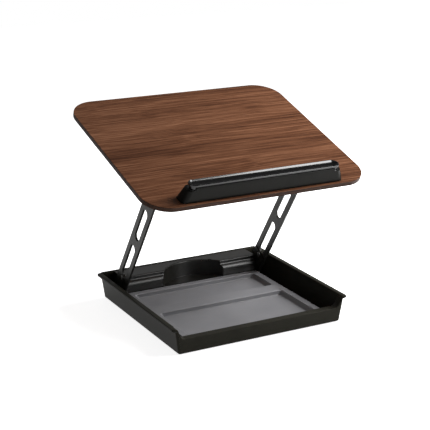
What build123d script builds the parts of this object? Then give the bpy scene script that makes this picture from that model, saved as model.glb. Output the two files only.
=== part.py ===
from build123d import *
import os
from math import atan2, cos, radians, sin, tan

os.makedirs("parts", exist_ok=True)

# A book stand: a shallow tray with a lift-out liner, two slotted arms that fold forward
# out of its rear corners, and a wooden board with a pen ledge hinged on the arms' tips.
# Millimetres, +X to the reader's right, +Y to the back, +Z up, desk at Z = 0.

# Clearances
slip_gap = 0.2        # between neighbours that are only laid or dropped together
run_gap = 0.05        # radial, round every pin, shaft and screw
turn_gap = 0.2        # along the hinge axes, between faces that turn past each other

# Tray, measured from its underside
tray_w = 287.0        # width over the bottom
tray_d = 272.0        # depth over the bottom
tray_h = 42.0
tray_corner = 3.6
cavity_corner = 2.0      # rear corners inside
side_flare = 6.3      # how far each side wall leans out over its height
end_flare = 2.2
tray_wall = 3.2
tray_floor = 2.5
tray_bottom_round = 1.6
rim_out = 5.2         # rim beyond the side walls
rim_back = 0.8
rim_t = 4.2
rim_round = 1.0
front_h = 23.5        # the low front, where the arms pass over
front_lip = 12.4      # its broad top, front to back
front_lip_t = 3.0
shoulder_in = 4.6     # foot of the shoulder, inside the tray's bottom corner
shoulder_run = 7.8
shoulder_low_r = 10.0
shoulder_high_r = 5.5

# Feet
foot_h = 1.5
foot_r = 7.0
foot_inset = 19.0

# Arm pivots and the housing over them
pivot_from_back = 30.5    # from the back of the tray's bottom
pivot_h = 26.0            # above the tray's underside
shaft_r = 4.0
housing_w = 250.8
housing_wall = 2.2
bulge_r = 10.9            # round front of the housing, about the pivot
bulge_lean = 0.6
strip_from_pivot = 5.5    # front of the block under the flat top strip, ahead of the pivot
strip_round = 2.0
cove_r = 4.0
scoop_x = 3.0               # middle of the scoop, to the right of the tray's
scoop_r = 69.0
scoop_round = 2.2
scoop_depth = 30.3        # from the housing's front
scoop_floor_h = 15.7
boss_r = 4.0
boss_from_back = 6.9      # centre of a screw boss, from the housing's back
boss_x = (-95.0, -35.0, 35.0, 95.0)

# Bearings for the pivot shafts
bearing_r = 8.0
bearing_ear_t = 7.0
bearing_plate_t = 3.0
bearing_plate_d = 20.0
bearing_in = 66.0         # inner end of the bearing's plate, from the middle
bearing_end_gap = 1.0     # from the housing's end wall

# Arms
arm_x = 128.0             # inner face, from the middle
arm_t = 3.8
arm_w = 34.8
arm_ahead = 3.0           # middle line of the bar, ahead of the line through its two axes
arm_len = 246.0           # pivot to pivot
arm_angle = 56.6          # above level, at rest
arm_edge = 0.4
arm_head_r = 19.0
arm_head_back = 3.3       # centre of the head's round end, short of the hinge axis
strand_w = 9.9
slot_start = 32.0         # from the pivot to the end of the lower slot
low_slot_len = 75.8
slot_bridge = 16.8
high_slot_len = 67.9
lever_t = 1.0
lever_len = 31.0
rivet_s = 26.0            # rivet, up the arm from the pivot
rivet_r = 2.4
rivet_head_r = 4.0
rivet_head_t = 0.8
washer_t = 0.9
washer_r = 8.0

# Board
board_w = 380.0
board_d = 325.0
board_t = 7.5
board_corner = 43.0
board_edge = 0.7
tilt = 17.0               # at rest
hinge_back = 107.7        # hinge axis behind the board's front edge
hinge_drop = 24.8         # and below its underside

# Hinge pins and brackets at the arms' tips
pin_r = 4.0
pin_head_r = 7.0
pin_head_t = 2.6
nut_r = 6.5
nut_t = 3.6
ear_t = 3.0
ear_r = 12.0
bracket_t = 2.5
bracket_w = 42.0
bracket_d = 64.0
bracket_corner = 5.0

# Ledge on the board
ledge_from_front = 4.7
ledge_len = 279.0
ledge_d = 25.3
ledge_h = 24.5
ledge_corner = 9.0
ledge_end_lean = 9.2      # each end leans in by this over the body's height
ledge_back_lean = 5.9
ledge_end_drop = 4.2      # the body's ends stand lower, under the channel's round ends
channel_len = 257.0
channel_d = 18.4
channel_lip_t = 3.3
channel_round = 0.8
channel_gap_h = 1.5       # dark line between the lip and the body
channel_neck_d = 14.4
channel_sink = 7.5        # how far the channel drops into the body
groove_r = 9.9
groove_depth = 4.4
ledge_screw_x = (-105.0, 0.0, 105.0)

# Liner
liner_gap = 16.5          # black channel between the liner and each side wall, at the floor
liner_top_h = 15.7        # above the tray's underside
liner_t = 2.0
liner_corner = 6.0
liner_end_gap = 0.6       # to the front lip and to the housing
liner_side_border = 11.1
liner_front_border = 5.2
liner_back_border = 11.2
liner_ridge = 28.0
liner_rear_d = 64.5
recess_depth = 7.3
recess_corner = 5.0
recess_end_lean = 5.2
recess_side_lean = 1.2

# Screws
screw_r = 1.5
screw_head_r = 3.2
screw_head_t = 1.1
bite = 5.0                # how far a screw goes into the piece that it holds
cap_screw_r = 2.5
cap_head_r = 5.0
cap_head_t = 2.4
cap_bite = 9.0

# Places that follow from these sizes
desk_to_floor = foot_h + tray_floor
rim_z = foot_h + tray_h
pivot_y = tray_d / 2 - pivot_from_back
pivot_z = foot_h + pivot_h
arm_dir = (-cos(radians(arm_angle)), sin(radians(arm_angle)))
tip_y = pivot_y + arm_len * arm_dir[0]
tip_z = pivot_z + arm_len * arm_dir[1]
board_u = (cos(radians(tilt)), sin(radians(tilt)))
front_y = tip_y - hinge_back * board_u[0] - hinge_drop * board_u[1]
front_z = tip_z - hinge_back * board_u[1] + hinge_drop * board_u[0]
lip_top_h = board_t + ledge_h + channel_gap_h + channel_lip_t    # above the board's underside
reach_front = front_y + ledge_from_front * board_u[0] - lip_top_h * board_u[1]
reach_back = front_y + board_d * board_u[0]
middle_y = (reach_front + reach_back) / 2
board_plane = Plane(origin=(0, front_y, front_z), x_dir=(1, 0, 0), z_dir=(0, -board_u[1], board_u[0]))


def arm_plane(x):
    """Plane square to X at x: its own X runs up the arm from the pivot."""
    return Plane(origin=(x, pivot_y, pivot_z), x_dir=(0, *arm_dir), z_dir=(1, 0, 0))


def side_plane(x):
    """Plane square to X at x, with its own X to the back and its own Y up."""
    return Plane(origin=(x, 0, 0), x_dir=(0, 1, 0), z_dir=(1, 0, 0))


def slab(sketch, plane, thickness):
    """A flat piece: the sketch laid on the plane and thickened along its normal."""
    return extrude(plane * sketch, amount=thickness, dir=plane.z_dir)


def rod(x0, x1, y, z, radius):
    """A round bar along X from x0 to x1."""
    low = min(x0, x1)
    disc = Plane(origin=(low, y, z), x_dir=(0, 1, 0), z_dir=(1, 0, 0)) * Circle(radius)
    return extrude(disc, amount=abs(x1 - x0))


def post(x, y, z0, z1, radius, plane=Plane.XY):
    """A round bar from z0 to z1 along the plane's normal, at x and y in the plane."""
    return extrude(plane.offset(z0) * Pos(x, y) * Circle(radius), amount=z1 - z0)


def screw(x, y, head_z, tip_z, plane=Plane.XY, radius=screw_r, head_r=screw_head_r, head_t=screw_head_t):
    """A pan-head screw along the plane's normal: its head lies beyond head_z, its tip at tip_z."""
    away = 1 if head_z > tip_z else -1
    head_ends = sorted((head_z, head_z + away * head_t))
    shank_ends = sorted((head_z, tip_z))
    return post(x, y, *head_ends, head_r, plane) + post(x, y, *shank_ends, radius, plane)


def screw_hole(x, y, z0, z1, plane=Plane.XY, radius=screw_r):
    return post(x, y, min(z0, z1), max(z0, z1), radius + run_gap, plane)


def tapered(plan0, z0, plan1, z1, plane=Plane.XY):
    """Straight-sided body between two flat outlines."""
    return loft([plane.offset(z0) * plan0, plane.offset(z1) * plan1], ruled=True)


def save(name, shape):
    """Every piece goes out in one frame, whose origin is under the middle of the whole stand."""
    export_step(Pos(0, -middle_y, 0) * shape, f"parts/{name}.step")


# Tray: one moulding, with a rim on three sides and a low, broad-topped front


def tray_size(h):
    """Width and depth of the tray at height h above its underside."""
    return tray_w + 2 * side_flare * h / tray_h, tray_d + 2 * end_flare * h / tray_h


def tray_plan(h):
    return RectangleRounded(*tray_size(h), tray_corner)


def cavity_plan(h):
    wide, deep = tray_size(h)
    return Rectangle(wide - 2 * tray_wall, deep - 2 * tray_wall)


def front_face_y(h):
    """Outer face of the tray's front wall at height h."""
    return -(tray_d / 2 + end_flare * h / tray_h)


lip_back_y = front_face_y(front_h) + front_lip
shoulder_x = tray_w / 2 - shoulder_in


def front_line(drop):
    """The front's top line from side to side with its rounded shoulders, or a line parallel to it below."""
    rise = atan2(tray_h - front_h, shoulder_run)
    outward = drop * tan(rise / 2)
    z_low = foot_h + front_h - drop
    z_high = rim_z - drop
    reach = shoulder_x + shoulder_run + rim_out + side_flare
    corner_x = (shoulder_x + outward, shoulder_x + shoulder_run + outward)
    right = [(corner_x[0], z_low), (corner_x[1], z_high), (reach, z_high)]
    left = [(-x, z) for x, z in reversed(right)]
    low_r = shoulder_low_r + drop
    high_r = shoulder_high_r - drop
    return FilletPolyline(*left, *right, radius=[high_r, low_r, low_r, high_r])


def closed(line, other_points):
    """Face between a line and the straight lines through the other points, from its end to its start."""
    return make_face([*line.edges(), *Polyline(line @ 1, *other_points, line @ 0).edges()])


across = Plane(origin=(0, 0, 0), x_dir=(1, 0, 0), z_dir=(0, -1, 0))
tray_outer = tapered(tray_plan(0), foot_h, tray_plan(tray_h), rim_z)
tray_outer = fillet(tray_outer.edges().group_by(Axis.Z)[0], tray_bottom_round)
cavity = tapered(cavity_plan(tray_floor), desk_to_floor, cavity_plan(tray_h + 5), rim_z + 5)
rear_corners = cavity.edges().filter_by(lambda edge: abs((edge % 0.5).Z) > 0.9).sort_by(Axis.Y)[-2:]
cavity = fillet(rear_corners, cavity_corner)
rim_w = tray_w + 2 * side_flare + 2 * rim_out
rim_d = tray_d + 2 * end_flare + rim_back
rim_plate = Pos(0, rim_back / 2, rim_z - rim_t) * extrude(RectangleRounded(rim_w, rim_d, tray_corner), rim_t)
rim_plate = fillet(rim_plate.edges().filter_by(Plane.XY), rim_round)
front_reach = -front_face_y(tray_h) + 5
front_depth = front_reach + lip_back_y
top_line = front_line(0)
above = closed(top_line, [((top_line @ 1).X, rim_z + 5), ((top_line @ 0).X, rim_z + 5)])
under_line = front_line(front_lip_t)
ends = [Line(top_line @ 0, under_line @ 0), Line(top_line @ 1, under_line @ 1)]
band = make_face([*top_line.edges(), *under_line.edges(), *ends])
front_cut = slab(above, across.offset(-lip_back_y), front_depth)
front_lip_zone = slab(band, across.offset(-lip_back_y), front_depth)
tray = tray_outer + rim_plate - (cavity - front_lip_zone) - front_cut

foot_x = tray_w / 2 - foot_inset
foot_y = tray_d / 2 - foot_inset
feet_at = [(x, y) for x in (-foot_x, foot_x) for y in (-foot_y, foot_y)]
rubber_feet = [post(x, y, 0, foot_h, foot_r) for x, y in feet_at]

# Housing: a moulded cover over the two pivots, with a finger scoop between them

housing_back_low = tray_d / 2 + end_flare * tray_floor / tray_h - tray_wall - slip_gap
housing_back_high = tray_d / 2 + end_flare - tray_wall - slip_gap
strip_y = pivot_y - strip_from_pivot
housing_front_y = pivot_y - bulge_r


def housing_profile(inset):
    """Section of the housing across its length, drawn in by inset except at its open bottom."""
    back = [(housing_back_low - inset, desk_to_floor), (housing_back_high - inset, rim_z - inset)]
    front_top = (strip_y + inset, rim_z - inset)
    block = Polygon((strip_y + inset, desk_to_floor), *back, front_top, align=None)
    brow_corner = block.vertices().sort_by_distance((*front_top, 0))[0]
    block = fillet(brow_corner, max(strip_round - inset, 0.4))
    foot = (housing_front_y + bulge_lean + inset, desk_to_floor)
    brow = (housing_front_y + inset, pivot_z)
    apron = Polygon(foot, (pivot_y, desk_to_floor), (pivot_y, pivot_z), brow, align=None)
    shape = block + apron + Pos(pivot_y, pivot_z) * Circle(bulge_r - inset)
    crease = shape.vertices().filter_by(lambda v: v.X < pivot_y and pivot_z + 1 < v.Y < rim_z - inset - 1)
    return fillet(crease.sort_by(Axis.X)[0], cove_r)


scoop_y = housing_front_y + scoop_depth - scoop_r
scoop_z = foot_h + scoop_floor_h
scoop = post(scoop_x, scoop_y, scoop_z, rim_z + 5, scoop_r)


def on_scoop_wall(edge):
    """True for the edges that bound the scoop's round wall above its floor."""
    middle = edge @ 0.5
    off = Vector(middle.X - scoop_x, middle.Y - scoop_y).length - scoop_r
    return abs(off) < 0.01 and middle.Z > scoop_z + scoop_round


scoop_skin = post(scoop_x, scoop_y, scoop_z - housing_wall, rim_z + 5, scoop_r + housing_wall)
housing_end = housing_w / 2
housing_outer = slab(housing_profile(0), side_plane(-housing_end), housing_w)
inner_end = housing_end - housing_wall
housing_inner = slab(housing_profile(housing_wall), side_plane(-inner_end), 2 * inner_end)
boss_y = housing_back_low - boss_from_back
bosses = [post(x, boss_y, desk_to_floor, rim_z - housing_wall, boss_r) for x in boss_x]
cover = housing_outer - scoop
scoop_edges = cover.edges().filter_by(on_scoop_wall)
housing = fillet(scoop_edges, scoop_round) - (housing_inner - scoop_skin)
housing = housing + bosses
shaft_tunnel = rod(-housing_end - 1, housing_end + 1, pivot_y, pivot_z, shaft_r + slip_gap)
housing = housing - (shaft_tunnel - rod(-inner_end, inner_end, pivot_y, pivot_z, shaft_r + 1))
boss_top = desk_to_floor + bite
housing = housing - [screw_hole(x, boss_y, desk_to_floor, boss_top) for x in boss_x]
housing_screws = [screw(x, boss_y, foot_h, boss_top) for x in boss_x]
tray = tray - [screw_hole(x, boss_y, foot_h, desk_to_floor) for x in boss_x]

# Bearings: a plate screwed to the tray's floor, with two ears that carry a pivot shaft

bearing_out = inner_end - bearing_end_gap
bearing_front_y = pivot_y - bearing_r
plate_top = desk_to_floor + bearing_plate_t
bearing_screw_y = pivot_y + bearing_plate_d - bearing_r - screw_head_r - 1
bearing_screw_x = (bearing_in + 2 * bearing_ear_t, bearing_out - 2 * bearing_ear_t)


def bearing(side):
    plate = Box(bearing_out - bearing_in, bearing_plate_d, bearing_plate_t, align=Align.MIN)
    body = Pos(bearing_in, bearing_front_y, desk_to_floor) * plate
    for x in (bearing_in, bearing_out - bearing_ear_t):
        web = Box(bearing_ear_t, 2 * bearing_r, pivot_z - desk_to_floor, align=Align.MIN)
        body += Pos(x, bearing_front_y, desk_to_floor) * web
        body += rod(x, x + bearing_ear_t, pivot_y, pivot_z, bearing_r)
    body -= rod(bearing_in - 1, bearing_out + 1, pivot_y, pivot_z, shaft_r + run_gap)
    body -= [screw_hole(x, bearing_screw_y, desk_to_floor, plate_top) for x in bearing_screw_x]
    return body if side > 0 else mirror(body, Plane.YZ)


screw_down_to = foot_h + tray_floor / 4
bearing_screws = []
for side in (-1, 1):
    for x in bearing_screw_x:
        bearing_screws.append(screw(side * x, bearing_screw_y, plate_top, screw_down_to))
        tray = tray - screw_hole(side * x, bearing_screw_y, screw_down_to, desk_to_floor)

# Pivot shafts, with the lever, washer and screws that hold each arm on its shaft

shaft_in = bearing_in - 2.0
arm_out = arm_x + arm_t


def shaft(side):
    bar = rod(side * shaft_in, side * arm_out, pivot_y, pivot_z, shaft_r)
    return bar - rod(side * (arm_out - cap_bite), side * arm_out, pivot_y, pivot_z, cap_screw_r + run_gap)


def cap_screw(side):
    head = rod(side * arm_out, side * (arm_out + cap_head_t), pivot_y, pivot_z, cap_head_r)
    return head + rod(side * (arm_out - cap_bite), side * arm_out, pivot_y, pivot_z, cap_screw_r)


def washer(side, x, y, z, hole_r):
    ring = rod(side * x, side * (x + washer_t), y, z, washer_r)
    return ring - rod(side * (x - 1), side * (x + washer_t + 1), y, z, hole_r + run_gap)


lever_plan = Pos(lever_len / 2, arm_ahead) * Rectangle(lever_len, arm_w - 2)
lever_plan += Pos(0, arm_ahead) * Circle(arm_w / 2 - 1)
arm_holes = Circle(shaft_r + run_gap) + Pos(rivet_s, arm_ahead) * Circle(rivet_r + run_gap)


def lever(side):
    low = min(side * arm_x, side * (arm_x - lever_t))
    return slab(lever_plan - arm_holes, arm_plane(low), lever_t)


def rivet(side):
    """Shank through lever and arm, with a flat head on each face."""
    _, y, z = arm_plane(0).from_local_coords(Vector(rivet_s, arm_ahead, 0))
    inner = arm_x - lever_t
    outer_head = rod(side * arm_out, side * (arm_out + rivet_head_t), y, z, rivet_head_r)
    inner_head = rod(side * inner, side * (inner - rivet_head_t), y, z, rivet_head_r)
    return outer_head + inner_head + rod(side * inner, side * arm_out, y, z, rivet_r)


# Arms: flat bars with two long slots and a wider head

slot_w = arm_w - 2 * strand_w
low_slot_end = slot_start + low_slot_len
high_slot_end = low_slot_end + slot_bridge + high_slot_len
bar_plan = Pos(0, arm_ahead) * Circle(arm_w / 2)
bar_plan += Pos(high_slot_end / 2, arm_ahead) * Rectangle(high_slot_end, arm_w)
head_middle = arm_len - arm_head_back
bar_plan += Polygon(
    (high_slot_end, arm_ahead - arm_w / 2), (head_middle, -arm_head_r),
    (head_middle, arm_head_r), (high_slot_end, arm_ahead + arm_w / 2), align=None
)
bar_plan += Pos(head_middle, 0) * Circle(arm_head_r)
bar_plan -= Pos(low_slot_end - low_slot_len / 2, arm_ahead) * SlotOverall(low_slot_len, slot_w)
bar_plan -= Pos(high_slot_end - high_slot_len / 2, arm_ahead) * SlotOverall(high_slot_len, slot_w)


def arm(side):
    bar = slab(bar_plan, arm_plane(min(side * arm_x, side * arm_out)), arm_t)
    bar = chamfer(bar.edges().filter_by(Plane.YZ), arm_edge)
    holes = arm_holes + Pos(arm_len, 0) * Circle(pin_r + run_gap)
    return bar - slab(holes, arm_plane(min(side * arm_x, side * arm_out)), arm_t)


# Board, with the brackets that hang it on the arms' tips

ear_out = arm_x - washer_t - 2 * turn_gap
ear_in = ear_out - ear_t
bracket_in = ear_out - bracket_w
bracket_v = (hinge_back - bracket_d / 2, hinge_back + bracket_d / 2)
bracket_screw_x = (bracket_in + 8, ear_in - 10)
bracket_screw_v = (bracket_v[0] + 8, bracket_v[1] - 8)
bracket_screws_at = [(x, v) for x in bracket_screw_x for v in bracket_screw_v]
board_screw_top = bite


def bracket(side):
    """Base plate under the board and an ear that drops from it to the hinge axis."""
    plan = Pos((bracket_in + ear_out) / 2, hinge_back) * RectangleRounded(bracket_w, bracket_d, bracket_corner)
    body = slab(plan, board_plane.offset(-bracket_t), bracket_t)
    side_on = Plane(origin=board_plane.from_local_coords(Vector(ear_in, 0, 0)),
                    x_dir=board_plane.y_dir, z_dir=(1, 0, 0))
    root = bracket_d / 2 - bracket_corner
    ear = Polygon(
        (hinge_back - root, -bracket_t / 2), (hinge_back - ear_r, -hinge_drop),
        (hinge_back + ear_r, -hinge_drop), (hinge_back + root, -bracket_t / 2), align=None
    ) + Pos(hinge_back, -hinge_drop) * Circle(ear_r)
    ear -= Pos(hinge_back, -hinge_drop) * Circle(pin_r + run_gap)
    body += slab(ear, side_on, ear_t)
    body -= [screw_hole(x, v, -bracket_t, 0, board_plane) for x, v in bracket_screws_at]
    return body if side > 0 else mirror(body, Plane.YZ)


board = slab(
    Pos(0, board_d / 2) * RectangleRounded(board_w, board_d, board_corner), board_plane, board_t
)
board = fillet(board.edges().filter_by(board_plane), board_edge)
bracket_screws = []
for side in (-1, 1):
    for x, v in bracket_screws_at:
        bracket_screws.append(screw(side * x, v, -bracket_t, board_screw_top, board_plane))
        board -= screw_hole(side * x, v, 0, board_screw_top, board_plane)


def tip_pin(side):
    """Round pin through the arm's head and the bracket's ear, with a flat head outside."""
    outside = arm_out + turn_gap
    inside = ear_in - turn_gap - nut_t
    head = rod(side * outside, side * (outside + pin_head_t), tip_y, tip_z, pin_head_r)
    return head + rod(side * inside, side * outside, tip_y, tip_z, pin_r)


def pin_nut(side):
    high = ear_in - turn_gap
    low = high - nut_t
    flat = Plane(origin=(min(side * low, side * high), tip_y, tip_z), x_dir=(0, 1, 0), z_dir=(1, 0, 0))
    hexagon = RegularPolygon(nut_r, 6) - Circle(pin_r + run_gap)
    return slab(hexagon, flat, nut_t)


# Ledge: a tapered body screwed to the board from below, with a glossy pen channel in its top

ledge_v = ledge_from_front + ledge_d / 2
ledge_top_d = ledge_d - ledge_back_lean
ledge_top_v = ledge_from_front + ledge_top_d / 2
channel_v = ledge_from_front + channel_d / 2
ledge_base = Pos(0, ledge_v) * RectangleRounded(ledge_len, ledge_d, ledge_corner)
ledge_top = Pos(0, ledge_top_v) * RectangleRounded(ledge_len - 2 * ledge_end_lean, ledge_top_d, ledge_corner)
ledge_body = tapered(ledge_base, board_t, ledge_top, board_t + ledge_h, board_plane)
neck_len = channel_len - channel_d + channel_neck_d
neck_plan = Pos(0, channel_v) * SlotOverall(neck_len, channel_neck_d)
pocket_plan = Pos(0, channel_v) * SlotOverall(neck_len + 2 * slip_gap, channel_neck_d + 2 * slip_gap)
body_top_h = board_t + ledge_h
lip_low_h = body_top_h + channel_gap_h
ledge_body -= slab(pocket_plan, board_plane.offset(body_top_h - channel_sink), channel_sink)
lip_plan = Pos(0, channel_v) * SlotOverall(channel_len, channel_d)
channel_lip = extrude(Pos(0, 0, lip_low_h) * lip_plan, amount=channel_lip_t)
channel_lip = fillet(channel_lip.edges().filter_by(Plane.XY), channel_round)
channel_lip = board_plane.location * channel_lip
channel = channel_lip + slab(neck_plan, board_plane.offset(body_top_h - channel_sink), channel_sink + channel_gap_h)
groove_half = (channel_len - channel_d) / 2
low_end_h = body_top_h - ledge_end_drop
for side in (-1, 1):
    end_plan = Pos(side * ledge_len, channel_v) * Rectangle(2 * (ledge_len - groove_half), 2 * ledge_d)
    ledge_body -= slab(end_plan, board_plane.offset(low_end_h), ledge_end_drop)
groove_h = lip_top_h - groove_depth + groove_r
groove_end = [board_plane.from_local_coords(Vector(x, channel_v, groove_h)) for x in (-groove_half, groove_half)]
groove = rod(-groove_half, groove_half, groove_end[0].Y, groove_end[0].Z, groove_r)
groove = groove + [Pos(*end) * Sphere(groove_r) for end in groove_end]
channel = channel - groove
ledge_screws = []
ledge_screw_v = ledge_top_v
for x in ledge_screw_x:
    tip_h = board_t + 2 * bite
    ledge_screws.append(screw(x, ledge_screw_v, 0, tip_h, board_plane))
    board -= screw_hole(x, ledge_screw_v, 0, board_t, board_plane)
    ledge_body -= screw_hole(x, ledge_screw_v, board_t, tip_h, board_plane)

# Liner: a thin moulded sheet standing on its skirt, with two shallow compartments

floor_half_w = tray_w / 2 + side_flare * tray_floor / tray_h - tray_wall
liner_half = floor_half_w - liner_gap
liner_front = lip_back_y + liner_end_gap
liner_back = housing_front_y - liner_end_gap
liner_mid = (liner_front + liner_back) / 2
liner_top = foot_h + liner_top_h
rear_recess = (liner_back - liner_back_border - liner_rear_d, liner_back - liner_back_border)
front_recess = (liner_front + liner_front_border, rear_recess[0] - liner_ridge)
recess_w = 2 * (liner_half - liner_side_border)


def recess(span, grow, top, depth):
    """Tapered hollow over the span in Y, grown all round by grow."""
    middle = (span[0] + span[1]) / 2
    deep = span[1] - span[0] + 2 * grow
    wide = recess_w + 2 * grow
    mouth = Pos(0, middle) * RectangleRounded(wide, deep, recess_corner + grow)
    low_r = recess_corner + grow - recess_side_lean
    base = Pos(0, middle) * RectangleRounded(wide - 2 * recess_end_lean, deep - 2 * recess_side_lean, low_r)
    return tapered(base, top - depth, mouth, top)


liner_plan = Pos(0, liner_mid) * RectangleRounded(2 * liner_half, liner_back - liner_front, liner_corner)
hollow_plan = Pos(0, liner_mid) * RectangleRounded(
    2 * (liner_half - liner_t), liner_back - liner_front - 2 * liner_t, liner_corner - liner_t
)
liner = extrude(Pos(0, 0, desk_to_floor) * liner_plan, amount=liner_top - desk_to_floor)
hollow = extrude(Pos(0, 0, desk_to_floor) * hollow_plan, amount=liner_top - desk_to_floor - liner_t)
for span in (front_recess, rear_recess):
    hollow -= recess(span, liner_t, liner_top, recess_depth + liner_t)
    liner -= recess(span, 0, liner_top, recess_depth)
liner -= hollow

save("base_tray", tray)
save("rubber_feet", Compound(rubber_feet))
save("rear_housing", housing)
save("housing_screws", Compound(housing_screws))
save("bearing_screws", Compound(bearing_screws))
save("tray_liner", liner)
save("arm_pivot_screws", Compound([cap_screw(-1), cap_screw(1)]))
save("arm_rivets", Compound([rivet(-1), rivet(1)]))
save("tip_pin_nuts", Compound([pin_nut(-1), pin_nut(1)]))
save("board_panel", board)
save("bracket_screws", Compound(bracket_screws))
save("ledge_body", ledge_body)
save("ledge_pen_channel", channel)
save("ledge_screws", Compound(ledge_screws))
for word, side in (("left", -1), ("right", 1)):
    save(f"{word}_pivot_bearing", bearing(side))
    save(f"{word}_pivot_shaft", shaft(side))
    save(f"{word}_pivot_washer", washer(side, housing_end + turn_gap, pivot_y, pivot_z, shaft_r))
    save(f"{word}_arm_lever", lever(side))
    save(f"{word}_arm", arm(side))
    save(f"{word}_tip_pin", tip_pin(side))
    save(f"{word}_tip_washer", washer(side, ear_out + turn_gap, tip_y, tip_z, pin_r))
    save(f"{word}_board_bracket", bracket(side))
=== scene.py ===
import math

import bmesh
import bpy
import numpy as np
from mathutils import Matrix, Vector


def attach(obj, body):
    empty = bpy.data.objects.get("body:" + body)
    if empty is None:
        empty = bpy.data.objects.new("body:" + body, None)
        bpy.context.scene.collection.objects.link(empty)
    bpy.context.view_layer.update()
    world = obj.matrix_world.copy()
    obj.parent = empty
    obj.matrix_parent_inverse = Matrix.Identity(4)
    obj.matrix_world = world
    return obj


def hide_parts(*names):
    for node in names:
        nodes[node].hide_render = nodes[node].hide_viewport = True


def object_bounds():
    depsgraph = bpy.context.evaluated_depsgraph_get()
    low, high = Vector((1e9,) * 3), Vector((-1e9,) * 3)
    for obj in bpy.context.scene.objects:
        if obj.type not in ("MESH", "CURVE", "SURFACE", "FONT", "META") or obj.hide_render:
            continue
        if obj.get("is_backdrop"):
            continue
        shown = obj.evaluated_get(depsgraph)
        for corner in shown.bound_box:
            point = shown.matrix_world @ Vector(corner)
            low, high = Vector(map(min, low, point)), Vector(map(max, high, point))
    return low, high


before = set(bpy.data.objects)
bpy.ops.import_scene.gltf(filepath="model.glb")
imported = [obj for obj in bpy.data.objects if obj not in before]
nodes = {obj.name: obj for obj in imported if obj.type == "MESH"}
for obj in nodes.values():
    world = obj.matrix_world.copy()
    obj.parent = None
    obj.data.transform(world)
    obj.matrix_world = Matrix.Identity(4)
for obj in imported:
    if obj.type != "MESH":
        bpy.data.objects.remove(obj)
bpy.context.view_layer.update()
middle_y = 0.0121041      # the frame's origin lies this far behind the drawing's

# Base tray: one black moulding with a fine spark-eroded texture, satin with a warm
# cast. Its walls lean out, and the low front has a broad rolled lip.

weld = 2e-6
sharp = math.radians(32)
tray_ease = 0.0012
shoulder_x = 0.131
shoulder_y = (-0.142, -0.131)
shoulder_z = 0.018


def tree_of(name):
    """A new node material: (material, nodes, links, Principled shader)."""
    material = bpy.data.materials.new(name)
    material.use_nodes = True
    tree = material.node_tree
    return material, tree.nodes, tree.links, tree.nodes["Principled BSDF"]


def add(tree_nodes, kind, place, **values):
    """Adds a shader node of a kind and sets its properties by name."""
    node = tree_nodes.new(kind)
    node.location = place
    for key, value in values.items():
        setattr(node, key, value)
    return node


def moulded(name, dark, light, roughness, grain_scale, grain_depth, specular):
    """Moulded plastic: two close tones in soft patches, roughness that drifts with them, a fine grain."""
    material, tn, links, shader = tree_of(name)
    place = add(tn, "ShaderNodeTexCoord", (-1100, 0))
    patches = add(tn, "ShaderNodeTexNoise", (-850, 200))
    patches.inputs["Scale"].default_value = 14.0
    patches.inputs["Detail"].default_value = 5.0
    patches.inputs["Roughness"].default_value = 0.6
    links.new(place.outputs["Object"], patches.inputs["Vector"])
    tone = add(tn, "ShaderNodeValToRGB", (-600, 300))
    tone.color_ramp.elements[0].position = 0.35
    tone.color_ramp.elements[0].color = (*dark, 1)
    tone.color_ramp.elements[1].position = 0.65
    tone.color_ramp.elements[1].color = (*light, 1)
    links.new(patches.outputs["Fac"], tone.inputs["Fac"])
    links.new(tone.outputs["Color"], shader.inputs["Base Color"])
    rough = add(tn, "ShaderNodeMapRange", (-600, 0))
    rough.inputs["To Min"].default_value = roughness - 0.05
    rough.inputs["To Max"].default_value = roughness + 0.05
    links.new(patches.outputs["Fac"], rough.inputs["Value"])
    links.new(rough.outputs["Result"], shader.inputs["Roughness"])
    shader.inputs["Specular IOR Level"].default_value = specular
    if grain_depth == 0:
        return material
    grain = add(tn, "ShaderNodeTexNoise", (-850, -250))
    grain.inputs["Scale"].default_value = grain_scale
    grain.inputs["Detail"].default_value = 3.0
    links.new(place.outputs["Object"], grain.inputs["Vector"])
    bump = add(tn, "ShaderNodeBump", (-300, -250))
    bump.inputs["Strength"].default_value = grain_depth
    bump.inputs["Distance"].default_value = 0.0002
    links.new(grain.outputs["Fac"], bump.inputs["Height"])
    links.new(bump.outputs["Normal"], shader.inputs["Normal"])
    return material


def piece(name, mesh, material, body, replaced, ease=0.0):
    """Puts a mesh in the scene as a named piece on its CAD body, in place of a CAD node."""
    made = bpy.data.objects.new(name, mesh)
    bpy.context.scene.collection.objects.link(made)
    mesh.materials.clear()
    mesh.materials.append(material)
    mesh.shade_smooth()
    if ease:
        rounded = made.modifiers.new("eased edges", "BEVEL")
        rounded.width = ease
        rounded.segments = 2
        rounded.limit_method = "WEIGHT"
        rounded.use_clamp_overlap = False
    else:
        mesh.set_sharp_from_angle(angle=sharp)
    faired = made.modifiers.new("face weighted", "WEIGHTED_NORMAL")
    faired.keep_sharp = True
    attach(made, body)
    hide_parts(replaced)


def merged_copy(name, left_sharp=None):
    """The mesh of a CAD node with its triangles joined and its sharp edges marked for easing.

    Edges are left as they are where left_sharp is true of their middle point.
    """
    mesh = nodes[name].data.copy()
    shape = bmesh.new()
    shape.from_mesh(mesh)
    bmesh.ops.remove_doubles(shape, verts=shape.verts, dist=weld)
    weight = shape.edges.layers.float.new("bevel_weight_edge")
    for edge in shape.edges:
        middle = (edge.verts[0].co + edge.verts[1].co) / 2
        if edge.calc_face_angle(0) > sharp and not (left_sharp and left_sharp(middle)):
            edge[weight] = 1.0
    shape.to_mesh(mesh)
    shape.free()
    return mesh


def dress(names, material):
    """Gives carried-over CAD nodes their material in place of the one that they came with."""
    for name in names:
        data = nodes[name].data
        data.materials.clear()
        data.materials.append(material)


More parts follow.
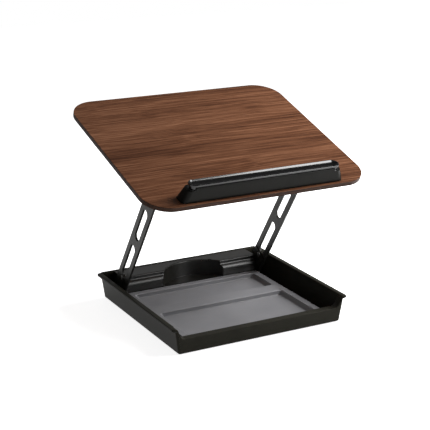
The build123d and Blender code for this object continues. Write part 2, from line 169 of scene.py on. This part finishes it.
def shoulder_inside(point):
    """True by the inner back corners of the front lip, where the shoulders' curves are too tight to ease."""
    return abs(point.x) > shoulder_x and shoulder_y[0] < point.y < shoulder_y[1] and point.z > shoulder_z


tray_black = moulded(
    "tray_black", (0.0165, 0.0158, 0.0117), (0.0222, 0.0211, 0.0161), 0.38, 1400.0, 0.12, 0.04
)
tray_mesh = merged_copy("base_tray", shoulder_inside)
piece("tray_moulding", tray_mesh, tray_black, "base", "base_tray", ease=tray_ease)

# Feet: four cut discs of black rubber foam, glued into the corners of the underside.

foot_rubber = moulded("foot_rubber", (0.012, 0.012, 0.012), (0.02, 0.02, 0.02), 0.85, 900.0, 0.6, 0.25)
dress(["rubber_feet"], foot_rubber)

# Rear housing: a thin semi-gloss black moulding over the arm pivots, held by screws
# from below. Its finger scoop gives room to lift what lies in the tray.

housing_ease = 0.0006

housing_black = moulded(
    "housing_black", (0.0060, 0.0057, 0.0046), (0.0085, 0.0081, 0.0066), 0.38, 1100.0, 0.02, 0.4
)
piece("housing_moulding", merged_copy("rear_housing"), housing_black, "base",
      "rear_housing", ease=housing_ease)

# Steel parts: turned bearings, shafts and rivets, and blackened screws, pins and nuts.
# Most of them are hidden in the housing and under the board.


def metal(name, dark, light, roughness, stretch):
    """Steel: a fine noise, stretched along the tool's path, gives the tool marks in tone and roughness."""
    material, tn, links, shader = tree_of(name)
    place = add(tn, "ShaderNodeTexCoord", (-1100, 0))
    drawn = add(tn, "ShaderNodeMapping", (-900, 0))
    drawn.inputs["Scale"].default_value = stretch
    links.new(place.outputs["Object"], drawn.inputs["Vector"])
    marks = add(tn, "ShaderNodeTexNoise", (-700, 0))
    marks.inputs["Scale"].default_value = 900.0
    marks.inputs["Detail"].default_value = 4.0
    links.new(drawn.outputs["Vector"], marks.inputs["Vector"])
    tone = add(tn, "ShaderNodeValToRGB", (-450, 150))
    tone.color_ramp.elements[0].position = 0.3
    tone.color_ramp.elements[0].color = (*dark, 1)
    tone.color_ramp.elements[1].position = 0.7
    tone.color_ramp.elements[1].color = (*light, 1)
    links.new(marks.outputs["Fac"], tone.inputs["Fac"])
    links.new(tone.outputs["Color"], shader.inputs["Base Color"])
    rough = add(tn, "ShaderNodeMapRange", (-450, -100))
    rough.inputs["To Min"].default_value = roughness - 0.06
    rough.inputs["To Max"].default_value = roughness + 0.06
    links.new(marks.outputs["Fac"], rough.inputs["Value"])
    links.new(rough.outputs["Result"], shader.inputs["Roughness"])
    shader.inputs["Metallic"].default_value = 1.0
    return material


turned_steel = metal("turned_steel", (0.42, 0.42, 0.41), (0.6, 0.6, 0.59), 0.3, (0.2, 1.0, 1.0))
dress(["left_pivot_bearing", "right_pivot_bearing", "left_pivot_shaft", "right_pivot_shaft", "arm_rivets"],
      turned_steel)
blackened_steel = metal("blackened_steel", (0.02, 0.02, 0.02), (0.05, 0.05, 0.05), 0.4, (1.0, 1.0, 1.0))
dress(["housing_screws", "bearing_screws", "arm_pivot_screws", "tip_pin_nuts", "left_tip_pin",
       "right_tip_pin", "bracket_screws", "ledge_screws"], blackened_steel)

# Washers: natural nylon, between each arm and what it turns against.

nylon = moulded("nylon", (0.5, 0.49, 0.45), (0.6, 0.59, 0.55), 0.45, 800.0, 0.1, 0.5)
dress(["left_pivot_washer", "right_pivot_washer", "left_tip_washer", "right_tip_washer"], nylon)

# Liner: a lift-out tray pressed from thin grey sheet, with two shallow compartments, a
# broad ridge between them and a skirt that stands on the tray's floor.

sheet_t = 0.002
sheet_half = 0.124175
sheet_front = -0.124231 - middle_y
sheet_back = 0.0940 - middle_y
sheet_top = 0.0172
sheet_foot = 0.0040
sheet_corner = 0.006
sheet_round = 0.0011
sheet_under_round = 0.0005
cell_half = 0.113075
cell_spans = ((-0.119031 - middle_y, -0.0097 - middle_y), (0.0183 - middle_y, 0.0828 - middle_y))
cell_depth = 0.0073
cell_corner = 0.005
cell_end_lean = 0.0052
cell_side_lean = 0.0012
corner_points = 10


def rounded_box(x0, x1, y0, y1, radii):
    """Plan of a box whose corners, from back right round to front right, have the given radii."""
    angle = np.linspace(0, np.pi / 2, corner_points)
    turns = (angle + np.arange(4)[:, None] * np.pi / 2).ravel()
    radius = np.repeat(radii, corner_points)
    side_x = np.repeat([x1, x0, x0, x1], corner_points) - np.repeat([1, -1, -1, 1], corner_points) * radius
    side_y = np.repeat([y1, y1, y0, y0], corner_points) - np.repeat([1, 1, -1, -1], corner_points) * radius
    return np.stack([side_x + radius * np.cos(turns), side_y + radius * np.sin(turns)], axis=-1)


def at_height(plan, z):
    """A plan's points, all given the height z."""
    return np.concatenate([plan, np.full((len(plan), 1), z)], axis=1)


def eased(start, corner, end, steps=5):
    """Rings along a curve that leaves start towards corner and comes into end.

    At the share t of the way it is (1-t)^2 start + 2t(1-t) corner + t^2 end.
    """
    t = np.linspace(0, 1, steps)[:, None, None]
    return (1 - t) ** 2 * start + 2 * t * (1 - t) * corner + t**2 * end


def ring_quads(index):
    """Quads that join each ring of point numbers to the next, all the way round."""
    here = index[:-1]
    there = index[1:]
    quads = np.stack([here, np.roll(here, -1, 1), np.roll(there, -1, 1), there], axis=-1)
    return quads.reshape(-1, 4).tolist()


def closed_mesh(name, points, faces):
    """Mesh of points and faces, with doubled points welded and all faces turned outwards."""
    mesh = bpy.data.meshes.new(name)
    mesh.from_pydata(points, [], faces)
    shape = bmesh.new()
    shape.from_mesh(mesh)
    bmesh.ops.remove_doubles(shape, verts=shape.verts, dist=weld)
    bmesh.ops.recalc_face_normals(shape, faces=shape.faces)
    shape.to_mesh(mesh)
    shape.free()
    return mesh


def cell_rings(rim, span, grow, top):
    """Rings from a rim on the sheet's top, over a compartment's edge, down its wall and into its floor."""
    y0, y1 = span
    mouth_r = cell_corner + grow

    def mouth(out):
        """The compartment's opening, set outwards by out."""
        x = cell_half + grow + out
        return rounded_box(-x, x, y0 - grow - out, y1 + grow + out, [mouth_r + out] * 4)

    def floor(out):
        """The compartment's floor, drawn in by the walls' lean and set outwards by out."""
        x = cell_half + grow - cell_end_lean + out
        return rounded_box(-x, x, y0 - grow + cell_side_lean - out, y1 + grow - cell_side_lean + out,
                           [mouth_r - cell_side_lean + out] * 4)

    deep = top - cell_depth
    share = sheet_round / cell_depth
    wall_top = at_height(mouth(0) + (floor(0) - mouth(0)) * share, top - sheet_round)
    wall_foot = at_height(floor(0) + (mouth(0) - floor(0)) * share, deep + sheet_round)
    over = eased(at_height(mouth(sheet_round), top), at_height(mouth(0), top), wall_top)
    into = eased(wall_foot, at_height(floor(0), deep), at_height(floor(-sheet_round), deep))
    return np.concatenate([at_height(rim, top)[None], over, into])


def sheet_side(grow):
    """Points, faces and last ring of the sheet's top, or of its underside when grow is its thickness."""
    top = sheet_top - grow
    half = sheet_half - grow
    front = sheet_front + grow
    back = sheet_back - grow
    corner = sheet_corner - grow
    middle = (cell_spans[0][1] + cell_spans[1][0]) / 2
    edge = sheet_round if grow == 0 else sheet_under_round
    rim_r = corner - edge
    front_rim = rounded_box(edge - half, half - edge, front + edge, middle, [0, 0, rim_r, rim_r])
    back_rim = rounded_box(edge - half, half - edge, middle, back - edge, [rim_r, rim_r, 0, 0])
    rings = [cell_rings(front_rim, cell_spans[0], grow, top), cell_rings(back_rim, cell_spans[1], grow, top)]

    def around(out):
        """The whole outline, with a point on each side where the two compartments' rims meet."""
        x = half + out
        r = corner + out
        first = rounded_box(-x, x, middle, back + out, [r, r, 0, 0])
        second = rounded_box(-x, x, front - out, middle, [0, 0, r, r])
        left_end = 2 * corner_points
        right_end = 3 * corner_points
        return np.concatenate([first[:left_end + 1], second[left_end:], first[right_end:right_end + 1]])

    skirt = eased(at_height(around(-edge), top), at_height(around(0), top), at_height(around(0), top - edge))
    rings.append(np.concatenate([skirt, at_height(around(0), sheet_foot)[None]]))
    points = []
    faces = []
    for stack, filled in zip(rings, (True, True, False)):
        count, size = stack.shape[:2]
        index = np.arange(count * size).reshape(count, size) + sum(map(len, points))
        faces += ring_quads(index)
        if filled:
            faces.append(index[-1].tolist())
        points.append(stack.reshape(-1, 3))
    return np.concatenate(points), faces, index[-1]


liner_grey = moulded("liner_grey", (0.160, 0.160, 0.169), (0.190, 0.190, 0.200), 0.34, 1300.0, 0.1, 0.35)
upper, upper_faces, upper_foot = sheet_side(0.0)
under, under_faces, under_foot = sheet_side(sheet_t)
under_foot = under_foot + len(upper)
foot_quads = np.stack([upper_foot, np.roll(upper_foot, -1), np.roll(under_foot, -1), under_foot], axis=-1)
under_faces = [[corner + len(upper) for corner in face] for face in under_faces]
liner_points = np.concatenate([upper, under]).tolist()
liner_mesh = closed_mesh("liner_sheet", liner_points, upper_faces + under_faces + foot_quads.tolist())
piece("liner_sheet", liner_mesh, liner_grey, "liner", "tray_liner")

# Arms, levers and brackets: laser-cut steel, the arms with two slots each, deburred
# and powder coated black.

arm_black = moulded(
    "arm_black", (0.0105, 0.0103, 0.0075), (0.0140, 0.0138, 0.0103), 0.45, 1800.0, 0.35, 0.22
)
dress(["left_arm", "right_arm", "left_arm_lever", "right_arm_lever", "left_board_bracket",
       "right_board_bracket"], arm_black)

# Board: a thin panel faced and edged with walnut veneer, eased along its edges and
# lacquered satin. It screws to the two hinge brackets.

board_w = 0.380
board_d = 0.325
board_t = 0.0075
board_corner = 0.043
board_edge = 0.0007
board_flat_in = 0.012     # a ring this far in keeps the faces flat up to the eased edge
board_corner_points = 24
tilt = math.radians(17)
board_front_y = -0.1401631 - middle_y
board_front_z = 0.2251005


def on_board(x, v, h):
    """Points from x, the distance v up the board from its front edge, and the height h over its underside."""
    return np.stack([
        x + 0 * v,
        board_front_y + v * math.cos(tilt) - h * math.sin(tilt) + 0 * x,
        board_front_z + v * math.sin(tilt) + h * math.cos(tilt) + 0 * x,
    ], axis=-1)


def rounded_path(width, depth, corner, per_corner):
    """Rounded rectangle as an inner rectangle's points and the way out from each.

    A point of it is base + corner * way.
    """
    angle = np.linspace(0, np.pi / 2, per_corner)
    turns = np.concatenate([angle + k * np.pi / 2 for k in range(4)])
    side_x = np.repeat([1, -1, -1, 1], per_corner) * (width / 2 - corner)
    side_y = np.repeat([1, 1, -1, -1], per_corner) * (depth / 2 - corner)
    return np.stack([side_x, side_y], axis=-1), np.stack([np.cos(turns), np.sin(turns)], axis=-1)


def ring_mesh(name, rings, close_last):
    """Mesh through rings of points, each joined to the next, the first one filled and the last if asked."""
    count, around = rings.shape[:2]
    index = np.arange(count * around).reshape(count, around)
    faces = ring_quads(index)
    faces.append(index[0][::-1].tolist())
    if close_last:
        faces.append(index[-1].tolist())
    return closed_mesh(name, rings.reshape(-1, 3).tolist(), faces)


def walnut(name, dark, mid, light, roughness):
    """Flat-cut walnut: broad bands and fine streaks along X, bent by a slow noise, with short pores."""
    material, tn, links, shader = tree_of(name)
    place = add(tn, "ShaderNodeTexCoord", (-1700, 0))
    level = add(tn, "ShaderNodeMapping", (-1500, 0), vector_type="POINT")
    level.inputs["Rotation"].default_value = (-tilt, 0, 0)
    links.new(place.outputs["Object"], level.inputs["Vector"])
    bend = add(tn, "ShaderNodeTexNoise", (-1300, -300))
    bend.inputs["Scale"].default_value = 6.0
    bend.inputs["Detail"].default_value = 1.0
    links.new(level.outputs["Vector"], bend.inputs["Vector"])
    shift = add(tn, "ShaderNodeVectorMath", (-1100, -300), operation="MULTIPLY_ADD")
    shift.inputs[1].default_value = (0.0, 0.012, 0.012)
    links.new(bend.outputs["Color"], shift.inputs[0])
    links.new(level.outputs["Vector"], shift.inputs[2])

    def streaks(scale_x, scale_y, detail, rough, y):
        """Noise stretched along the grain."""
        drawn = add(tn, "ShaderNodeMapping", (-900, y))
        drawn.inputs["Scale"].default_value = (scale_x, scale_y, scale_y)
        links.new(shift.outputs["Vector"], drawn.inputs["Vector"])
        noise = add(tn, "ShaderNodeTexNoise", (-700, y))
        noise.inputs["Scale"].default_value = 1.0
        noise.inputs["Detail"].default_value = detail
        noise.inputs["Roughness"].default_value = rough
        links.new(drawn.outputs["Vector"], noise.inputs["Vector"])
        return noise.outputs["Fac"]

    broad = streaks(1.6, 22.0, 2.0, 0.5, 300)
    fine = streaks(7.0, 420.0, 5.0, 0.7, 0)
    pores = streaks(34.0, 1000.0, 2.0, 0.5, -600)
    both = add(tn, "ShaderNodeMix", (-450, 200), data_type="FLOAT")
    both.inputs[0].default_value = 0.72
    links.new(broad, both.inputs[2])
    links.new(fine, both.inputs[3])
    tone = add(tn, "ShaderNodeValToRGB", (-250, 200))
    ramp = tone.color_ramp
    ramp.elements[0].position = 0.38
    ramp.elements[0].color = (*dark, 1)
    ramp.elements[1].position = 0.64
    ramp.elements[1].color = (*light, 1)
    middle = ramp.elements.new(0.5)
    middle.color = (*mid, 1)
    links.new(both.outputs[0], tone.inputs["Fac"])
    pore_mask = add(tn, "ShaderNodeMapRange", (-450, -500))
    pore_mask.inputs["From Min"].default_value = 0.56
    pore_mask.inputs["From Max"].default_value = 0.68
    pore_mask.inputs["To Max"].default_value = 0.45
    links.new(pores, pore_mask.inputs["Value"])
    darken = add(tn, "ShaderNodeMix", (0, 200), data_type="RGBA", blend_type="MULTIPLY")
    darken.inputs[7].default_value = (0.35, 0.3, 0.28, 1)
    links.new(pore_mask.outputs["Result"], darken.inputs[0])
    links.new(tone.outputs["Color"], darken.inputs[6])
    links.new(darken.outputs[2], shader.inputs["Base Color"])
    rough_map = add(tn, "ShaderNodeMapRange", (-250, -200))
    rough_map.inputs["To Min"].default_value = roughness + 0.08
    rough_map.inputs["To Max"].default_value = roughness - 0.08
    links.new(both.outputs[0], rough_map.inputs["Value"])
    links.new(rough_map.outputs["Result"], shader.inputs["Roughness"])
    bump = add(tn, "ShaderNodeBump", (-250, -500))
    bump.inputs["Strength"].default_value = 0.25
    bump.inputs["Distance"].default_value = 0.0002
    links.new(fine, bump.inputs["Height"])
    links.new(bump.outputs["Normal"], shader.inputs["Normal"])
    shader.inputs["Specular IOR Level"].default_value = 0.08
    return material


walnut_face = walnut(
    "walnut_face", (0.048, 0.0165, 0.0075), (0.130, 0.052, 0.025), (0.250, 0.113, 0.060), 0.5
)
# A much darker walnut for the board's edge faces is painted shade: the edge is the same wood as the top,
# darkened where its faces turn away from the light.
walnut_shaded_edge = walnut(
    "walnut_shaded_edge", (0.018, 0.0085, 0.0052), (0.045, 0.0225, 0.0145), (0.080, 0.042, 0.028), 0.5
)
base, way = rounded_path(board_w, board_d, board_corner, board_corner_points)
ease = np.linspace(0, np.pi / 2, 5)
edge_start = board_edge * (1 - np.sin(ease))
edge_end = board_edge * (1 - np.cos(ease))
inset = np.concatenate([[board_corner, board_flat_in], edge_start, edge_end, [board_flat_in, board_corner]])
height = np.concatenate([[0, 0], edge_end, board_t - edge_start, [board_t, board_t]])
plan = base + (board_corner - inset[:, None, None]) * way
board_rings = on_board(plan[..., 0], plan[..., 1] + board_d / 2, height[:, None])
board_mesh = ring_mesh("board_panel", board_rings, True)
piece("walnut_board", board_mesh, walnut_face, "board", "board_panel")
# Faces that stand across the board, its edges, take the darker walnut of painted shade.
board_mesh.materials.append(walnut_shaded_edge)
across = np.array([list(face.normal) for face in board_mesh.polygons]) @ [0, -math.sin(tilt), math.cos(tilt)]
board_mesh.polygons.foreach_set("material_index", (abs(across) < 0.2).astype(np.int32))

# Ledge body: a satin black moulding screwed up through the board. Its sides slant, and
# its round ends stand lower, so that the channel's neck and foot ring show there.

ledge_h = 0.0245
ledge_from_front = 0.0047
ledge_end_drop = 0.0042
ledge_ease = 0.0008

ledge_black = moulded(
    "ledge_black", (0.0080, 0.0078, 0.0062), (0.0110, 0.0107, 0.0090), 0.34, 1400.0, 0.05, 0.07
)
piece("ledge_moulding", merged_copy("ledge_body"), ledge_black, "board", "ledge_body",
      ease=ledge_ease)

# Pen channel: one polished black moulding pressed into the ledge's top by its neck. It
# has a thin level rim round a groove of round section with ball ends, and a foot ring.

channel_len = 0.257
channel_d = 0.0184
neck_d = 0.0144
neck_sink = 0.0072
lip_gap = 0.0015
lip_t = 0.0033
lip_round = 0.0008
groove_r = 0.0099
groove_depth = 0.0044
mouth_round = 0.0001
foot_gap = 0.0001
foot_r = 0.0090
foot_t = 0.0009
end_points = 25

channel_gloss = moulded("channel_gloss", (0.004, 0.004, 0.004), (0.006, 0.006, 0.006), 0.18, 300.0, 0.0, 0.5)
angle = np.linspace(-np.pi / 2, np.pi / 2, end_points)
way = np.stack([np.cos(angle), np.sin(angle)], axis=-1)
way = np.concatenate([way, -way])
half = (channel_len - channel_d) / 2
middle_v = np.full(2 * end_points, ledge_from_front + channel_d / 2)
base = np.stack([np.repeat([half, -half], end_points), middle_v], axis=-1)
top = board_t + ledge_h + lip_gap + lip_t
low = top - lip_t
foot_low = board_t + ledge_h - ledge_end_drop + foot_gap
foot_top = foot_low + foot_t
turn = np.linspace(0, np.pi / 2, 5)
neck_r = neck_d / 2
lip_r = channel_d / 2
groove_up = groove_r - groove_depth
mouth_r = math.sqrt(groove_r**2 - groove_up**2)
sweep = np.linspace(math.asin(groove_up / groove_r), math.pi / 2, 15)
out = np.concatenate([
    [neck_r, neck_r, foot_r], foot_r - foot_t * (1 - np.cos(turn)), [neck_r, neck_r],
    lip_r - lip_round * (1 - np.sin(turn)), lip_r - lip_round * (1 - np.cos(turn)),
    [mouth_r + mouth_round], groove_r * np.cos(sweep),
])
up = np.concatenate([
    [top - lip_t - lip_gap - neck_sink, foot_low, foot_low],
    foot_low + foot_t * np.sin(turn), [foot_top, low],
    low + lip_round * (1 - np.cos(turn)), top - lip_round * (1 - np.sin(turn)),
    [top], top + groove_up - groove_r * np.sin(sweep),
])
plan = base + out[:, None, None] * way
channel_rings = on_board(plan[..., 0], plan[..., 1], up[:, None])
channel_mesh = ring_mesh("ledge_pen_channel", channel_rings, False)
piece("pen_channel", channel_mesh, channel_gloss, "board", "ledge_pen_channel")

# Studio: a pale sheet, two soft boxes on the right that light the stand but don't show in
# its gloss, and one at the front right that shows in gloss alone. Dim cards all round are
# there for the gloss to reflect. The camera is at the height of a seated reader.

floor_half = 3.0


def background_seen(tn, links):
    """The output of a node that is 1 for rays by which the background is seen: camera, gloss and glass."""
    seen = add(tn, "ShaderNodeLightPath", (-600, 300))
    either = add(tn, "ShaderNodeMath", (-400, 300), operation="MAXIMUM")
    links.new(seen.outputs["Is Camera Ray"], either.inputs[0])
    links.new(seen.outputs["Is Glossy Ray"], either.inputs[1])
    any_of = add(tn, "ShaderNodeMath", (-200, 300), operation="MAXIMUM")
    links.new(either.outputs[0], any_of.inputs[0])
    links.new(seen.outputs["Is Transmission Ray"], any_of.inputs[1])
    return any_of.outputs[0]


def matt(shader, tone, glow):
    """Makes a Principled shader a matt grey of a tone, with a white glow of its own."""
    shader.inputs["Base Color"].default_value = (tone, tone, tone, 1)
    shader.inputs["Roughness"].default_value = 1.0
    shader.inputs["Specular IOR Level"].default_value = 0.0
    shader.inputs["Emission Color"].default_value = (1, 1, 1, 1)
    shader.inputs["Emission Strength"].default_value = glow


def sheet(name, material, corners):
    """A flat four-cornered sheet, staged as part of the studio."""
    mesh = bpy.data.meshes.new(name)
    mesh.from_pydata(corners, [], [(0, 1, 2, 3)])
    mesh.materials.append(material)
    made = bpy.data.objects.new(name, mesh)
    bpy.context.scene.collection.objects.link(made)
    made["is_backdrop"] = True
    return made


pale, tn, links, shader = tree_of("studio_pale")
matt(shader, 0.8, 0.06)
place = add(tn, "ShaderNodeTexCoord", (-600, 600))
reach = add(tn, "ShaderNodeVectorMath", (-400, 600), operation="LENGTH")
links.new(place.outputs["Object"], reach.inputs[0])
rise = add(tn, "ShaderNodeMapRange", (-200, 600))
rise.inputs["From Min"].default_value = 0.25
rise.inputs["From Max"].default_value = 0.6
rise.inputs["To Min"].default_value = 0.8
rise.inputs["To Max"].default_value = 0.94
links.new(reach.outputs["Value"], rise.inputs["Value"])
glow = add(tn, "ShaderNodeEmission", (0, 300))
links.new(rise.outputs["Result"], glow.inputs["Strength"])
summed = add(tn, "ShaderNodeAddShader", (300, 300))
links.new(glow.outputs[0], summed.inputs[0])
links.new(shader.outputs[0], summed.inputs[1])
mixed = add(tn, "ShaderNodeMixShader", (500, 200))
links.new(background_seen(tn, links), mixed.inputs[0])
links.new(shader.outputs[0], mixed.inputs[1])
links.new(summed.outputs[0], mixed.inputs[2])
links.new(mixed.outputs[0], tn["Material Output"].inputs["Surface"])
sheet("studio_floor", pale, [
    (-floor_half, -floor_half, 0), (floor_half, -floor_half, 0),
    (floor_half, floor_half, 0), (-floor_half, floor_half, 0),
])

world = bpy.data.worlds.new("studio")
bpy.context.scene.world = world
world.use_nodes = True
tn = world.node_tree.nodes
links = world.node_tree.links
white = add(tn, "ShaderNodeBackground", (-200, 100))
white.inputs["Color"].default_value = (1, 1, 1, 1)
white.inputs["Strength"].default_value = 1.0
dim = tn["Background"]
dim.inputs["Color"].default_value = (1, 1, 1, 1)
dim.inputs["Strength"].default_value = 0.05
mixed = add(tn, "ShaderNodeMixShader", (100, 200))
links.new(background_seen(tn, links), mixed.inputs[0])
links.new(dim.outputs[0], mixed.inputs[1])
links.new(white.outputs[0], mixed.inputs[2])
links.new(mixed.outputs[0], tn["World Output"].inputs["Surface"])


def soft_box(name, place, aim, width, height, power):
    """A rectangular area lamp at a place, turned to face a point."""
    lamp = bpy.data.lights.new(name, "AREA")
    lamp.shape = "RECTANGLE"
    lamp.size = width
    lamp.size_y = height
    lamp.energy = power
    box = bpy.data.objects.new(name, lamp)
    box.location = place
    box.rotation_euler = (Vector(aim) - Vector(place)).to_track_quat("-Z", "Y").to_euler()
    bpy.context.scene.collection.objects.link(box)
    return box


key_box = soft_box("key_box", (0.95, -0.42, 1.05), (0.05, 0, 0.15), 0.7, 0.7, 19.0)
side_box = soft_box("side_box", (1.15, -0.05, 0.55), (0.05, 0, 0.1), 0.6, 0.5, 24.0)
front_box = soft_box("front_box", (0.70, -0.84, 0.68), (0.05, 0.08, 0.05), 0.54, 0.6, 17.0)
key_box.visible_glossy = False
side_box.visible_glossy = False
front_box.visible_diffuse = False

card_tone = 0.05
card_left = -1.0
card_right = 2.2
card_front = -1.9
card_back = 1.4
card_top = 2.2
left_card_front = -1.2
back_card_right = 1.6


def card(name, glow, corners):
    """A card for the stand to reflect, of its own dim glow, hidden from the camera."""
    material, _, _, shader = tree_of(name)
    matt(shader, card_tone, glow)
    sheet(name, material, corners).visible_camera = False


card("left_card", 0.08, [
    (card_left, left_card_front, 0), (card_left, card_back, 0),
    (card_left, card_back, card_top), (card_left, left_card_front, card_top),
])
card("front_card", 0.05, [
    (card_left, card_front, 0), (card_right, card_front, 0),
    (card_right, card_front, card_top), (card_left, card_front, card_top),
])
card("right_card", 0.10, [
    (card_right, card_front, 0), (card_right, card_back, 0),
    (card_right, card_back, card_top), (card_right, card_front, card_top),
])
card("top_card", 0.10, [
    (card_left, card_front, card_top), (card_right, card_front, card_top),
    (card_right, card_back, card_top), (card_left, card_back, card_top),
])
card("back_card", 0.30, [
    (card_left, card_back, 0), (back_card_right, card_back, 0),
    (back_card_right, card_back, card_top), (card_left, card_back, card_top),
])

yaw = math.radians(28.95)
pitch = math.radians(17.26)
roll = math.radians(0.41)
camera_place = (-0.911573, -1.643712, 0.741359)
look = Vector((math.sin(yaw) * math.cos(pitch), math.cos(yaw) * math.cos(pitch), -math.sin(pitch)))
level_right = Vector((math.cos(yaw), -math.sin(yaw), 0))
level_up = level_right.cross(look)
right = level_right * math.cos(roll) + level_up * math.sin(roll)
up_way = level_up * math.cos(roll) - level_right * math.sin(roll)
camera_data = bpy.data.cameras.new("reader_view")
camera_data.lens = 102.96
camera_data.sensor_width = 36
camera = bpy.data.objects.new("reader_view", camera_data)
turned = Matrix((right, up_way, -look)).transposed().to_4x4()
camera.matrix_world = Matrix.Translation(camera_place) @ turned
bpy.context.scene.collection.objects.link(camera)
bpy.context.scene.camera = camera
bpy.context.scene.view_settings.view_transform = "Standard"

low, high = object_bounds()
